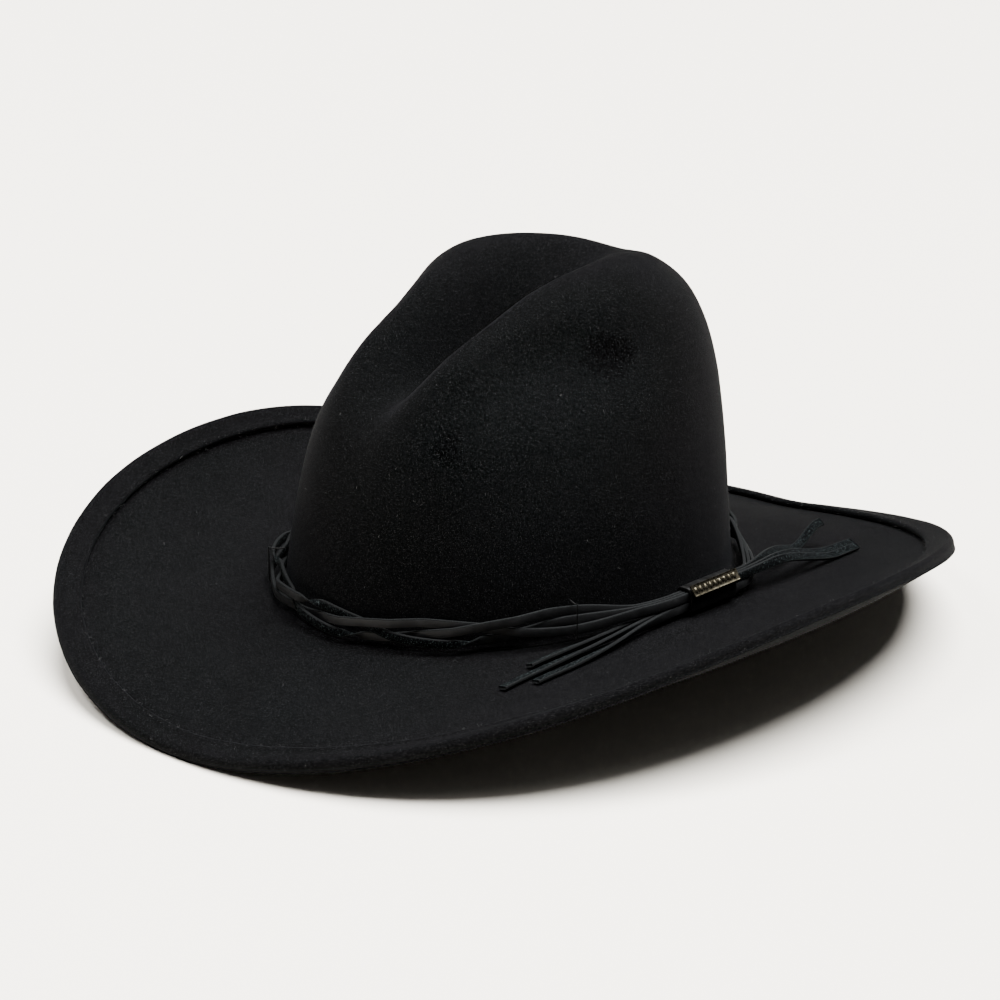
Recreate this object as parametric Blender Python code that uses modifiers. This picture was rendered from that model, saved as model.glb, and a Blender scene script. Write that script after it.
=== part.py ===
"""Western hat with a pinched crown, a folded brim edge and a braided lace band with a sliding keeper.

Metres, +Z up. The hat faces -Y and the wearer's left is +X. Angles called theta run round the head
from the front (0) through the wearer's left (90 degrees) to the back (180 degrees).
"""
import math

import bmesh
import bpy
from mathutils import Vector

# --- felt: crown --------------------------------------------------------------------------------
FELT_THICKNESS = 0.0025
CROWN_HALF_LENGTH = 0.1035  # outside, where the wall meets the brim
CROWN_HALF_WIDTH = 0.0865
CROWN_HEIGHT = 0.1354  # brim to the top of the ridges
RIDGE_TOP_Y = 0.032  # where the ridges are highest
RIDGE_ARCH_RADIUS = 0.36  # curve of the ridges seen from the side
FRONT_HEIGHT = 0.1174  # line that cuts the ridges down towards the face
FRONT_SLOPE = 1.52
FRONT_BLEND = 0.0187
SIDE_TAPER = 0.142
FRONT_TAPER = 0.084
REAR_TAPER = 0.039
PINCH = 0.411  # how far the front dents draw the sides in
PINCH_Y = -0.058
PINCH_REACH = 0.0665
PINCH_POWER = 1.87
SHOULDER_ROUNDNESS = 5.28  # powers of the superellipse that the wall and shoulder follow
WALL_ROUNDNESS = 4.58
CREASE_DEPTH = 0.325 * CROWN_HEIGHT
CREASE_Y = -0.017
CREASE_WIDTH_REAR = 0.0148
CREASE_WIDTH_FRONT = 0.0180
CREASE_FRONT_REACH = 0.077
CREASE_REAR_REACH = 0.050
CREASE_NARROWS_OVER = 0.060
DENT = 0.100  # how far the hollow under each ridge goes in, as a share of the half width
DENT_Y = -0.028
DENT_REACH = 0.050
DENT_RISE = 0.80
DENT_SPAN = 0.11

# --- felt: brim ---------------------------------------------------------------------------------
BRIM_WIDTH = 0.0920
BRIM_SIDE_EXTRA = 0.0027
BRIM_FRONT_EXTRA = 0.0012
BREAK_RADIUS = 0.004  # inside corner between wall and brim
BREAK_SIDE_LIFT = 0.0021  # the head opening is bent up at the sides
BREAK_FRONT_LIFT = 0.0010
FRONT_SLOPES = (-8.0, -20.2)  # degrees at the crown and at the edge
SIDE_SLOPES = (-6.0, 43.9)
REAR_SLOPES = (-6.5, -18.2)
CURL_START = 1.27  # over 1 keeps the curl near the edge
CURL_POWER_FRONT = 1.62
CURL_POWER_REAR_LEFT = 1.28
CURL_POWER_REAR_RIGHT = 3.07  # the right side is let down sooner towards the back
FOLD_INSIDE = 0.0003  # radius inside the fold where the edge is turned up and pressed flat
FOLD_WIDTH = 0.0086  # flap that lies back over the brim

# --- sweatband, reed and lining -----------------------------------------------------------------
CLEARANCE = 0.0003
WALL_GAP = 0.0006  # to the felt, whose facets and the lining's don't line up
SWEATBAND_HEIGHT = 0.052
SWEATBAND_THICKNESS = 0.0010
SEAM_GAP = 0.0008
TAPE_THICKNESS = 0.00035
TAPE_HEIGHT = 0.0045
REED_RADIUS = 0.0006
LINING_THICKNESS = 0.0003
LINING_FOOT = 0.007
LINING_BELOW_CREASE = 0.0174  # from the bottom of the crease down to the lining's side
LINING_DOME = 0.004
LINING_HANG = 0.0012  # extra room behind the top of the lining's side
LINING_HANGS_FROM = 0.4  # share of the side over the sweatband that still lies against the felt
LINING_ROWS = 5
PIPING_RADIUS = 0.0008
PIPING_GAP = 0.0006  # to the lining's side, whose facets and the piping's don't line up
GUARD_THICKNESS = 0.0003
GUARD_SHARE = 0.62  # of the lining tip's length and width
THREAD_RADIUS = 0.00025
SEAM_STITCHES = 11
SEAM_STITCH_WIDTH = 0.006
SEAM_STITCHES_FOOT = 0.004  # over the tape
SEAM_STITCHES_TOP = 0.003  # below the sweatband's top edge
LABEL_WIDTH = 0.024
LABEL_HEIGHT = 0.014
LABEL_THETA = 160.0
LABEL_RISE = 0.020
BOW_LENGTH = 0.026
BOW_WIDTH = 0.007
BOW_DEPTH = 0.0030
BOW_RISE = 0.012
RIBBON_THICKNESS = 0.0005
KNOT_LENGTH = 0.005
BOW_WAIST = 0.55  # share of its width and depth that the knot draws the bow in to
BOW_TAIL_SPAN = 0.021
BOW_TAIL_DROP = 0.005
TAPE_TURN_SHARE = 0.6  # of the tape's width that goes round the reed
BOW_OPENS = 1.3  # over 1 opens the loops sooner beside the knot
KNOT_CORNER = 0.0008

# --- lace band and keeper -----------------------------------------------------------------------
LACE_WIDTH = 0.0038
LACE_THICKNESS = 0.0014
LACE_GAP = 0.00035
BRAID_EASE = 0.00045  # spare room where one lace passes over another
BRAID_DWELL = 1.8  # over 1 keeps a lace on top, or beneath, for longer
BRAID_TURNS = 3
BRAID_START = 145.0  # theta, going back round the far side
BRAID_END = 420.0
BAND_OFF_WALL_GAP = 0.00065  # from the crown to the nearest lace
BAND_OVER_BRIM = 0.0018
BAND_LIFT_AT_KEEPER = 0.0024
BAND_LIFT_SPAN = 80.0  # degrees of theta to each side of the keeper over which the band is lifted
KEEPER_OFF_CROWN = 0.00215
KEEPER_Y = 0.0170
KEEPER_LENGTH = 0.0290
KEEPER_TRAVEL = 0.0040  # each way along the laces
KEEPER_WALL = 0.0014
KEEPER_ROOM = 0.0005  # round the six laces inside
KEEPER_CORNER = 0.0030
KEEPER_OVER_BRIM = 0.0008
PLATE_WIDTH = 0.0050
PLATE_THICKNESS = 0.0011
PLATE_TILT = 35.0  # degrees that its face leans up from level with the side
PLATE_RIM = 0.0004
TACK_THETAS = (318.0, 62.0, 215.0, 265.0)
TACK_RADIUS = 0.0003
TACK_CORNER = 0.0010
TACK_FOOT = 0.0026  # how near its lower end comes to the crown
STRAIGHT_SPARE = 0.0010  # straight lace beyond the keeper's travel

JOIN_NEAR_HANDLE = 0.20
JOIN_FAR_HANDLE = 0.50
JOIN_SPREAD_FROM = 0.45  # the laces come in towards the crown before they spread up and down
TAIL_OVER_BRIM = 0.0009
LEFT_TAIL_SINKS = (0.0, 0.5)  # shares of the tail between which it comes down on the brim
RIGHT_TAIL_SINKS = (0.25, 0.85)

TAIL_TILTS_BY = 0.8  # share of the tail by which it has turned to its full tilt
TIP_LIFTS_FROM = 0.7

# Left tails run forward and right tails run back, from the middle of the keeper:
# (offset to the side, run, tilt in degrees, lift of the curled tip)
LEFT_TAIL_TIPS = (
    (-0.0050, 0.119, 80.0, 0.0),
    (-0.0105, 0.097, 70.0, 0.0),
    (0.0025, 0.107, 82.0, 0.0),
)
RIGHT_TAIL_TIPS = (
    (-0.0090, 0.111, -62.0, 0.0),
    (-0.0230, 0.107, -55.0, 0.0080),
    (-0.0020, 0.106, -62.0, 0.0),
)

# --- how finely each surface is cut -------------------------------------------------------------
TIP_CELLS = 14
TIP_SPREAD = 0.72  # share of the crown's half width that the tip's grid covers
CROWN_ROWS = 12
BREAK_ROWS = 4
BRIM_ROWS = 7
FOLD_ROWS = 4
FLAP_ROWS = 3
RING_COLUMNS = 44
BRAID_STEP = 5.0  # degrees of theta
JOIN_STEPS = 9
TAIL_STEPS = 11
PROFILE_STEPS = 200


# --- shape of the crown -------------------------------------------------------------------------
def ease(t):
    t = min(max(t, 0.0), 1.0)
    return t * t * (3 - 2 * t)


def mix(a, b, t):
    return a + (b - a) * t


def base_oval(theta):
    """Foot of the crown's outer wall and the oval's outward normal there."""
    foot = Vector(
        (
            CROWN_HALF_WIDTH * math.sin(theta),
            -CROWN_HALF_LENGTH * math.cos(theta),
            BREAK_FRONT_LIFT * math.cos(theta) - BREAK_SIDE_LIFT * math.cos(2 * theta),
        )
    )
    normal = Vector((math.sin(theta) / CROWN_HALF_WIDTH, -math.cos(theta) / CROWN_HALF_LENGTH, 0))
    return foot, normal.normalized()


def ridge_height(y):
    """Soft minimum of the gently arched ridge and the slope down to the face."""
    arched = CROWN_HEIGHT - (y - RIDGE_TOP_Y) ** 2 / (2 * RIDGE_ARCH_RADIUS)
    front = FRONT_HEIGHT + FRONT_SLOPE * (y + CROWN_HALF_LENGTH * (1 - FRONT_TAPER))
    share = min(max(0.5 + 0.5 * (front - arched) / FRONT_BLEND, 0), 1)
    return mix(front, arched, share) - FRONT_BLEND * share * (1 - share)


def crease(x, y):
    reach = CREASE_FRONT_REACH if y < CREASE_Y else CREASE_REAR_REACH
    narrowing = min(max((CREASE_Y - y) / CREASE_NARROWS_OVER, 0), 1)
    width = mix(CREASE_WIDTH_REAR, CREASE_WIDTH_FRONT, narrowing)
    return CREASE_DEPTH * math.exp(-(((y - CREASE_Y) / reach) ** 2) - (x / width) ** 2)


def crown_point(theta, spread, rise):
    """Outer felt where spread (0 centre, 1 wall) and rise (0 foot, 1 top) are shares of the superellipse."""
    foot, _ = base_oval(theta)
    end_taper = FRONT_TAPER if foot.y < 0 else REAR_TAPER
    pinch = PINCH * math.exp(-(((foot.y - PINCH_Y) / PINCH_REACH) ** 2)) * rise**PINCH_POWER
    dent = DENT * math.exp(-(((foot.y - DENT_Y) / DENT_REACH) ** 2) - ((rise - DENT_RISE) / DENT_SPAN) ** 2)
    x = foot.x * (1 - SIDE_TAPER * rise - pinch - dent) * spread
    y = foot.y * (1 - end_taper * rise) * spread
    top = ridge_height(y) - crease(x, y)
    return Vector((x, y, mix(foot.z, top, rise)))


def rise_at(spread):
    return max(1 - spread**SHOULDER_ROUNDNESS, 0) ** (1 / WALL_ROUNDNESS)


def spread_at(rise):
    return max(1 - rise**WALL_ROUNDNESS, 0) ** (1 / SHOULDER_ROUNDNESS)


def crown_rows():
    """(spread, rise) pairs evenly spaced along the profile, from the tip's rim down to the break."""
    turn = [math.acos(TIP_SPREAD ** (SHOULDER_ROUNDNESS / 2))]
    lowest = math.asin((2 * BREAK_RADIUS / CROWN_HEIGHT) ** (WALL_ROUNDNESS / 2))
    for step in range(1, PROFILE_STEPS + 1):
        turn.append(mix(turn[0], lowest, step / PROFILE_STEPS))
    shares = [(math.cos(t) ** (2 / SHOULDER_ROUNDNESS), math.sin(t) ** (2 / WALL_ROUNDNESS)) for t in turn]
    run = [0.0]
    for (spread_a, rise_a), (spread_b, rise_b) in zip(shares, shares[1:]):
        across = (spread_b - spread_a) * CROWN_HALF_WIDTH
        run.append(run[-1] + math.hypot(across, (rise_b - rise_a) * CROWN_HEIGHT))
    rows = []
    for row in range(1, CROWN_ROWS + 1):
        wanted = run[-1] * row / CROWN_ROWS
        nearest = min(range(len(run)), key=lambda i: abs(run[i] - wanted))
        rows.append(shares[nearest])
    return rows


def wall_point(theta, height, inset):
    """Point of the crown's wall at a height over the break, moved in along the oval's normal."""
    foot, normal = base_oval(theta)
    if height <= 0:
        return foot - normal * inset + Vector((0, 0, height))
    low, high = 0.0, 0.99
    for _ in range(30):
        rise = (low + high) / 2
        if crown_point(theta, spread_at(rise), rise).z - foot.z < height:
            low = rise
        else:
            high = rise
    return crown_point(theta, spread_at(rise), rise) - normal * inset


# --- shape of the brim --------------------------------------------------------------------------
def brim_slopes(theta):
    """Slope of the brim at the crown and at the edge, in radians."""
    if math.cos(theta) > 0:
        power = CURL_POWER_FRONT
    elif math.sin(theta) < 0:
        power = CURL_POWER_REAR_RIGHT
    else:
        power = CURL_POWER_REAR_LEFT
    side = abs(math.sin(theta)) ** power
    front = (1 + math.cos(theta)) / 2
    slopes = []
    for front_slope, side_slope, rear_slope in zip(FRONT_SLOPES, SIDE_SLOPES, REAR_SLOPES):
        slopes.append(math.radians(mix(mix(rear_slope, front_slope, front), side_slope, side)))
    return slopes


def brim_line(theta, steps=48):
    """Top of the brim as (out, up) from the wall's foot, before the break's fillet and without the fold."""
    inner, outer = brim_slopes(theta)
    extra = BRIM_SIDE_EXTRA * math.sin(theta) ** 2 + BRIM_FRONT_EXTRA * max(math.cos(theta), 0)
    length = (BRIM_WIDTH + extra) / steps
    line = [(0.0, 0.0)]
    for step in range(steps):
        slope = mix(inner, outer, ((step + 0.5) / steps) ** CURL_START)
        out, up = line[-1]
        line.append((out + math.cos(slope) * length, up + math.sin(slope) * length))
    return line


def brim_height(theta, out):
    """Height of the brim's top over the wall's foot at a distance out from it."""
    line = brim_line(theta)
    for (out_a, up_a), (out_b, up_b) in zip(line, line[1:]):
        if out <= out_b:
            return mix(up_a, up_b, (out - out_a) / (out_b - out_a))
    return line[-1][1]


def brim_profile(theta):
    """Rows of the break's fillet, the brim and the folded edge, as (out, up)."""
    inner, outer = brim_slopes(theta)
    centre_up = BREAK_RADIUS * (math.tan(inner) + 1 / math.cos(inner))
    rows = []
    for row in range(BREAK_ROWS + 1):
        turn = mix(math.pi, 1.5 * math.pi + inner, row / BREAK_ROWS)
        rows.append((BREAK_RADIUS * (1 + math.cos(turn)), centre_up + BREAK_RADIUS * math.sin(turn)))
    line = brim_line(theta)
    first = next(i for i, (out, _) in enumerate(line) if out > rows[-1][0])
    for row in range(1, BRIM_ROWS + 1):
        rows.append(line[first + round((len(line) - 1 - first) * row / BRIM_ROWS)])
    out, up = line[-1]
    for row in range(1, FOLD_ROWS + 1):
        turn = outer - math.pi / 2 + math.pi * row / FOLD_ROWS
        centre = out - math.sin(outer) * FOLD_INSIDE, up + math.cos(outer) * FOLD_INSIDE
        rows.append((centre[0] + FOLD_INSIDE * math.cos(turn), centre[1] + FOLD_INSIDE * math.sin(turn)))
    step_length = math.dist(line[-1], line[-2])
    for row in range(1, FLAP_ROWS + 1):
        back = FOLD_WIDTH * row / FLAP_ROWS / step_length
        (out_a, up_a), (out_b, up_b) = line[-2 - int(back)], line[-1 - int(back)]
        share = 1 - back % 1
        slope = math.atan2(up_b - up_a, out_b - out_a)
        flap_out = mix(out_a, out_b, share) - math.sin(slope) * 2 * FOLD_INSIDE
        rows.append((flap_out, mix(up_a, up_b, share) + math.cos(slope) * 2 * FOLD_INSIDE))
    return rows


def oval_coordinates(x, y):
    """(theta, distance out) of a point beside the crown."""
    theta = math.atan2(x / CROWN_HALF_WIDTH, -y / CROWN_HALF_LENGTH)
    for _ in range(8):
        foot, normal = base_oval(theta)
        offset = Vector((x - foot.x, y - foot.y, 0))
        along = Vector((-normal.y, normal.x, 0))
        speed = math.hypot(CROWN_HALF_WIDTH * math.cos(theta), CROWN_HALF_LENGTH * math.sin(theta))
        theta += offset.dot(along) / (speed + max(offset.dot(normal), 0))
    return theta, offset.dot(normal)


def brim_top(x, y):
    theta, out = oval_coordinates(x, y)
    return base_oval(theta)[0].z + brim_height(theta, out)


# --- making objects -----------------------------------------------------------------------------
def finish(name, colour, roughness, metallic=0.0, alpha=1.0):
    material = bpy.data.materials.new(name)
    material.use_nodes = True
    shader = material.node_tree.nodes["Principled BSDF"]
    shader.inputs["Base Color"].default_value = (*colour, 1)
    shader.inputs["Roughness"].default_value = roughness
    shader.inputs["Metallic"].default_value = metallic
    shader.inputs["Alpha"].default_value = alpha
    return material


def add_object(name, data, material, parent):
    item = bpy.data.objects.new(name, data)
    item.data.materials.append(material)
    item.parent = parent
    PARTS.objects.link(item)
    return item


def add_mesh(name, work, material, parent):
    mesh = bpy.data.meshes.new(name)
    work.to_mesh(mesh)
    work.free()
    mesh.shade_smooth()
    return add_object(name, mesh, material, parent)


def thicken(item, thickness, offset):
    solidify = item.modifiers.new("thickness", "SOLIDIFY")
    solidify.thickness = thickness
    solidify.offset = offset


def add_sheet(name, columns, rows, place, thickness, material, parent, closed=False, offset=0.0):
    """A grid whose corners are put at place(u, v), with u and v from 0 to 1, given a thickness."""
    work = bmesh.new()
    bmesh.ops.create_grid(work, x_segments=columns, y_segments=rows, size=0.5)
    for vertex in work.verts:
        vertex.co = place(vertex.co.x + 0.5, vertex.co.y + 0.5)
    if closed:
        bmesh.ops.remove_doubles(work, verts=work.verts, dist=1e-6)
    item = add_mesh(name, work, material, parent)
    thicken(item, thickness, offset)
    return item


def add_tube(name, points, radius, material, parent, closed=False):
    curve = bpy.data.curves.new(name, "CURVE")
    curve.dimensions = "3D"
    curve.bevel_depth = radius
    curve.bevel_resolution = 1
    curve.use_fill_caps = not closed
    spline = curve.splines.new("POLY")
    spline.points.add(len(points) - 1)
    for knot, point in zip(spline.points, points):
        knot.co = (*point, 1)
    spline.use_cyclic_u = closed
    return add_object(name, curve, material, parent)


def ring(place, count=RING_COLUMNS):
    return [place(2 * math.pi * i / count) for i in range(count)]


# --- felt ---------------------------------------------------------------------------------------
def make_felt(material, parent):
    """A grid mapped to the oval tip, with its rim extruded row by row to the brim's edge and its fold."""
    work = bmesh.new()
    angle = work.verts.layers.float.new("theta")
    bmesh.ops.create_grid(work, x_segments=TIP_CELLS, y_segments=TIP_CELLS, size=1)
    for vertex in work.verts:
        u, v = vertex.co.x, vertex.co.y
        across, along = u * math.sqrt(1 - v * v / 2), v * math.sqrt(1 - u * u / 2)
        vertex[angle] = math.atan2(across, -along)
        spread = TIP_SPREAD * math.hypot(across, along)
        vertex.co = crown_point(vertex[angle], spread, rise_at(spread))

    def extrude_rim(place):
        rim = [edge for edge in work.edges if edge.is_boundary]
        made = bmesh.ops.extrude_edge_only(work, edges=rim)["geom"]
        for item in made:
            if isinstance(item, bmesh.types.BMVert):
                item.co = place(item[angle])

    def brim_row(row):
        def place(theta):
            foot, normal = base_oval(theta)
            out, up = brim_profile(theta)[row]
            return foot + normal * out + Vector((0, 0, up))

        return place

    for spread, rise in crown_rows():
        extrude_rim(lambda theta: crown_point(theta, spread, rise))
    for row in range(BREAK_ROWS + 1 + BRIM_ROWS + FOLD_ROWS + FLAP_ROWS):
        extrude_rim(brim_row(row))
    felt = add_mesh("felt_body", work, material, parent)
    thicken(felt, FELT_THICKNESS, -1)
    return felt


# --- inside the crown ---------------------------------------------------------------------------
# Insets from the crown's outer face, from the felt inwards.
TAPE_OUTER = FELT_THICKNESS + WALL_GAP + TAPE_THICKNESS / 2
BAND_INSET = TAPE_OUTER + TAPE_THICKNESS / 2 + CLEARANCE + SWEATBAND_THICKNESS / 2
TAPE_INNER = BAND_INSET + SWEATBAND_THICKNESS / 2 + CLEARANCE + TAPE_THICKNESS / 2
BAND_FACE = BAND_INSET + SWEATBAND_THICKNESS / 2 + CLEARANCE
LINING_INSET = FELT_THICKNESS + WALL_GAP + LINING_THICKNESS / 2


def seam_theta(u):
    """From one side of the back seam round the head to the other, leaving the seam's gap."""
    gap = SEAM_GAP / CROWN_HALF_WIDTH / 2
    return mix(-math.pi + gap, math.pi - gap, u)


def make_sweatband(leather, tape, reed, thread, parent):
    add_sheet(
        "sweatband", RING_COLUMNS, 4,
        lambda u, v: wall_point(seam_theta(u), SWEATBAND_HEIGHT * v, BAND_INSET),
        SWEATBAND_THICKNESS, leather, parent,
    )
    middle = (TAPE_OUTER + TAPE_INNER) / 2
    half = (TAPE_INNER - TAPE_OUTER) / 2
    fold = -CLEARANCE - TAPE_THICKNESS

    def tape_point(u, v):
        """Down the outside of the sweatband, round the reed and up its inside."""
        flat = (1 - TAPE_TURN_SHARE) / 2
        if v < flat:
            inset, height = TAPE_OUTER, mix(TAPE_HEIGHT, fold, v / flat)
        elif v > 1 - flat:
            inset, height = TAPE_INNER, mix(TAPE_HEIGHT, fold, (1 - v) / flat)
        else:
            turn = math.pi * (v - flat) / TAPE_TURN_SHARE
            inset, height = middle - half * math.cos(turn), fold - half * math.sin(turn)
        return wall_point(seam_theta(u), height, inset)

    add_sheet("reed_tape", RING_COLUMNS, 5, tape_point, TAPE_THICKNESS, tape, parent)
    reed_points = [wall_point(seam_theta(i / RING_COLUMNS), fold, middle) for i in range(RING_COLUMNS + 1)]
    add_tube("sweatband_reed", reed_points, REED_RADIUS, reed, parent)
    stitch_inset = TAPE_INNER + TAPE_THICKNESS / 2 + CLEARANCE + THREAD_RADIUS
    stitches = ring(lambda theta: wall_point(theta, TAPE_HEIGHT / 2, stitch_inset))
    add_tube("sweatband_stitching", stitches, THREAD_RADIUS, thread, parent, closed=True)

    zigzag = []
    lowest = TAPE_HEIGHT + SEAM_STITCHES_FOOT
    highest = SWEATBAND_HEIGHT - SEAM_STITCHES_TOP
    for stitch in range(SEAM_STITCHES + 1):
        side = 1 if stitch % 2 else -1
        height = mix(lowest, highest, stitch / SEAM_STITCHES)
        theta = math.pi + side * SEAM_STITCH_WIDTH / 2 / CROWN_HALF_WIDTH
        zigzag.append(wall_point(theta, height, BAND_FACE + THREAD_RADIUS))
    add_tube("sweatband_seam_thread", zigzag, THREAD_RADIUS, thread, parent)


def make_lining(satin, piping, guard, parent):
    top = CROWN_HEIGHT - CREASE_DEPTH - LINING_BELOW_CREASE
    hangs_from = mix(SWEATBAND_HEIGHT, top, LINING_HANGS_FROM)
    loose_from = 1 - 1 / LINING_ROWS

    def side_point(u, v):
        height = mix(LINING_FOOT, hangs_from, v / loose_from)
        if v > loose_from:
            height = mix(hangs_from, top, (v - loose_from) / (1 - loose_from))
        hang = LINING_HANG * ease((height - hangs_from) / (top - hangs_from))
        return wall_point(2 * math.pi * u, height, LINING_INSET + hang)

    def tip_point(reach, height):
        def place(u, v):
            u, v = 2 * u - 1, 2 * v - 1
            across, along = u * math.sqrt(1 - v * v / 2), v * math.sqrt(1 - u * u / 2)
            theta, share = math.atan2(across, -along), math.hypot(across, along)
            edge = wall_point(theta, top, LINING_INSET + 3 * PIPING_RADIUS + CLEARANCE)
            centre = Vector((0, 0, top + height))
            out = share * reach
            flat = centre.lerp(Vector((edge.x, edge.y, centre.z)), out)
            flat.z = mix(centre.z + LINING_DOME, edge.z + height, out * out)
            return flat

        return place

    add_sheet("lining_side", RING_COLUMNS, LINING_ROWS, side_point, LINING_THICKNESS, satin, parent, closed=True)
    add_sheet("lining_tip", 10, 10, tip_point(1, 0), LINING_THICKNESS, satin, parent)
    drop = LINING_THICKNESS / 2 + CLEARANCE + GUARD_THICKNESS / 2
    add_sheet("tip_guard", 8, 8, tip_point(GUARD_SHARE, -drop), GUARD_THICKNESS, guard, parent)
    piping_inset = LINING_INSET + LINING_HANG + PIPING_GAP + PIPING_RADIUS
    cord = ring(lambda theta: wall_point(theta, top - 2 * PIPING_RADIUS, piping_inset))
    add_tube("lining_piping", cord, PIPING_RADIUS, piping, parent, closed=True)


def make_label(cloth, parent):
    middle = math.radians(LABEL_THETA)
    half = LABEL_WIDTH / 2 / CROWN_HALF_LENGTH

    def place(u, v):
        height = LABEL_RISE + LABEL_HEIGHT * v
        return wall_point(middle + half * (2 * u - 1), height, BAND_FACE + LINING_THICKNESS / 2)

    add_sheet("size_label", 6, 2, place, LINING_THICKNESS, cloth, parent)


def make_bow(ribbon, parent):
    """A flattened ring of ribbon and a strip of tails, held by a knot against the sweatband's back seam."""
    seat = wall_point(math.pi, BOW_RISE, BAND_FACE)
    step = RIBBON_THICKNESS + CLEARANCE
    knot_back = seat.y - 2 * THREAD_RADIUS - CLEARANCE - RIBBON_THICKNESS / 2
    tail_plane = knot_back - step
    loop_plane = tail_plane - step - BOW_DEPTH / 2
    knot_front = loop_plane - BOW_DEPTH / 2 * BOW_WAIST - step

    def loop_point(u, v):
        turn = 2 * math.pi * u
        openness = ease(abs(math.cos(turn)) * BOW_OPENS)
        y = loop_plane + math.sin(turn) * BOW_DEPTH / 2 * mix(BOW_WAIST, 1, openness)
        z = seat.z + (v - 0.5) * BOW_WIDTH * mix(BOW_WAIST, 1, openness)
        return Vector((math.cos(turn) * BOW_LENGTH / 2, y, z))

    def tail_point(u, v):
        x = (u - 0.5) * BOW_TAIL_SPAN
        drop = max(abs(x) - KNOT_LENGTH / 2, 0) / BOW_TAIL_SPAN * 2 * BOW_TAIL_DROP
        return Vector((x, tail_plane, seat.z + (v - 0.5) * BOW_WIDTH * BOW_WAIST - drop))

    half_y = (knot_back - knot_front + RIBBON_THICKNESS) / 2
    half_z = BOW_WIDTH * BOW_WAIST / 2 + step + RIBBON_THICKNESS / 2 + CLEARANCE
    knot = rounded_outline(half_y, half_z, KNOT_CORNER, 2)

    def knot_point(u, v):
        y, z = knot[round(u * len(knot)) % len(knot)]
        return Vector(((0.5 - v) * KNOT_LENGTH, (knot_back + knot_front) / 2 + y, seat.z + z))

    add_sheet("bow_loops", 24, 2, loop_point, RIBBON_THICKNESS, ribbon, parent, closed=True)
    add_sheet("bow_tails", 10, 2, tail_point, RIBBON_THICKNESS, ribbon, parent)
    add_sheet("bow_knot", len(knot), 1, knot_point, RIBBON_THICKNESS, ribbon, parent, closed=True, offset=1)


# --- lace band ----------------------------------------------------------------------------------
BRAID_RISE = LACE_WIDTH + CLEARANCE  # half height of the plait, to the laces' middles
BRAID_DEPTH = LACE_THICKNESS + BRAID_EASE
BAND_OFF_WALL = BAND_OFF_WALL_GAP + BRAID_DEPTH + LACE_THICKNESS / 2
BAND_HEIGHT = BAND_OVER_BRIM + BRAID_RISE + LACE_WIDTH / 2  # middle of the plait over the brim
LAYER_PITCH = LACE_THICKNESS + LACE_GAP
ROW_PITCH = LACE_WIDTH + LACE_GAP
KEEPER_ROOM_X = 2 * LAYER_PITCH + LACE_THICKNESS + 2 * KEEPER_ROOM
KEEPER_ROOM_Z = ROW_PITCH + LACE_WIDTH + 2 * KEEPER_ROOM
KEEPER_X = CROWN_HALF_WIDTH + KEEPER_OFF_CROWN + KEEPER_ROOM_X / 2 + KEEPER_WALL
KEEPER_Z = brim_top(KEEPER_X, KEEPER_Y) + KEEPER_OVER_BRIM + KEEPER_ROOM_Z / 2 + KEEPER_WALL
STRAIGHT_HALF = KEEPER_LENGTH / 2 + KEEPER_TRAVEL + STRAIGHT_SPARE
LAYER_OF_LACE = (0, -1, 1)  # lace 2 runs nearest the crown and lace 3 outermost


def band_height(theta):
    """Height of the plait's middle over the break, lifted towards the keeper."""
    away = math.degrees(math.acos(math.cos(theta - math.pi / 2)))
    return BAND_HEIGHT + BAND_LIFT_AT_KEEPER * (1 - ease(away / BAND_LIFT_SPAN))


def braid_point(lace, theta_degrees):
    """A lace's middle in the plait: it swings up and down, and lies over or under where two cross."""
    theta = math.radians(theta_degrees)
    share = (theta_degrees - BRAID_START) / (BRAID_END - BRAID_START)
    phase = 2 * math.pi * (lace / 3 + BRAID_TURNS * share)
    foot, normal = base_oval(theta)
    over = min(max(BRAID_DWELL * math.sin(2 * phase), -1), 1)
    up = band_height(theta) + BRAID_RISE * math.sin(phase)
    return foot + normal * (BAND_OFF_WALL + BRAID_DEPTH * over) + Vector((0, 0, up))


def keeper_slot(lace, row, y):
    side = LAYER_OF_LACE[lace] * LAYER_PITCH
    return Vector((KEEPER_X + side, y, KEEPER_Z + row * ROW_PITCH / 2))


def join_braid(lace, row, end_y, theta_degrees, steps):
    """From the keeper to the plait: a curve in towards the crown, with the laces level and then spread."""
    way = 1 if end_y > KEEPER_Y else -1
    foot, normal = base_oval(math.radians(theta_degrees))
    start, end = Vector((KEEPER_X, end_y, 0)), foot + normal * BAND_OFF_WALL
    end.z = 0
    chord = (end - start).length
    near = start + Vector((0, way, 0)) * chord * JOIN_NEAR_HANDLE
    far = end - Vector((-normal.y, normal.x, 0)) * way * chord * JOIN_FAR_HANDLE
    plait = braid_point(lace, theta_degrees)
    plait_depth = (plait - foot).dot(normal) - BAND_OFF_WALL
    slot = keeper_slot(lace, row, end_y)
    points = []
    for step in range(1, steps):
        t = step / steps
        middle = start * (1 - t) ** 3 + near * 3 * t * (1 - t) ** 2 + far * 3 * t * t * (1 - t) + end * t**3
        heading = (near - start) * (1 - t) ** 2 + (far - near) * 2 * t * (1 - t) + (end - far) * t * t
        outward = Vector((heading.y, -heading.x, 0)).normalized() * way
        point = middle + outward * mix(slot.x - KEEPER_X, plait_depth, t)
        point.z = mix(slot.z, plait.z, ease((t - JOIN_SPREAD_FROM) / (1 - JOIN_SPREAD_FROM)))
        points.append(point)
    return points


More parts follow.
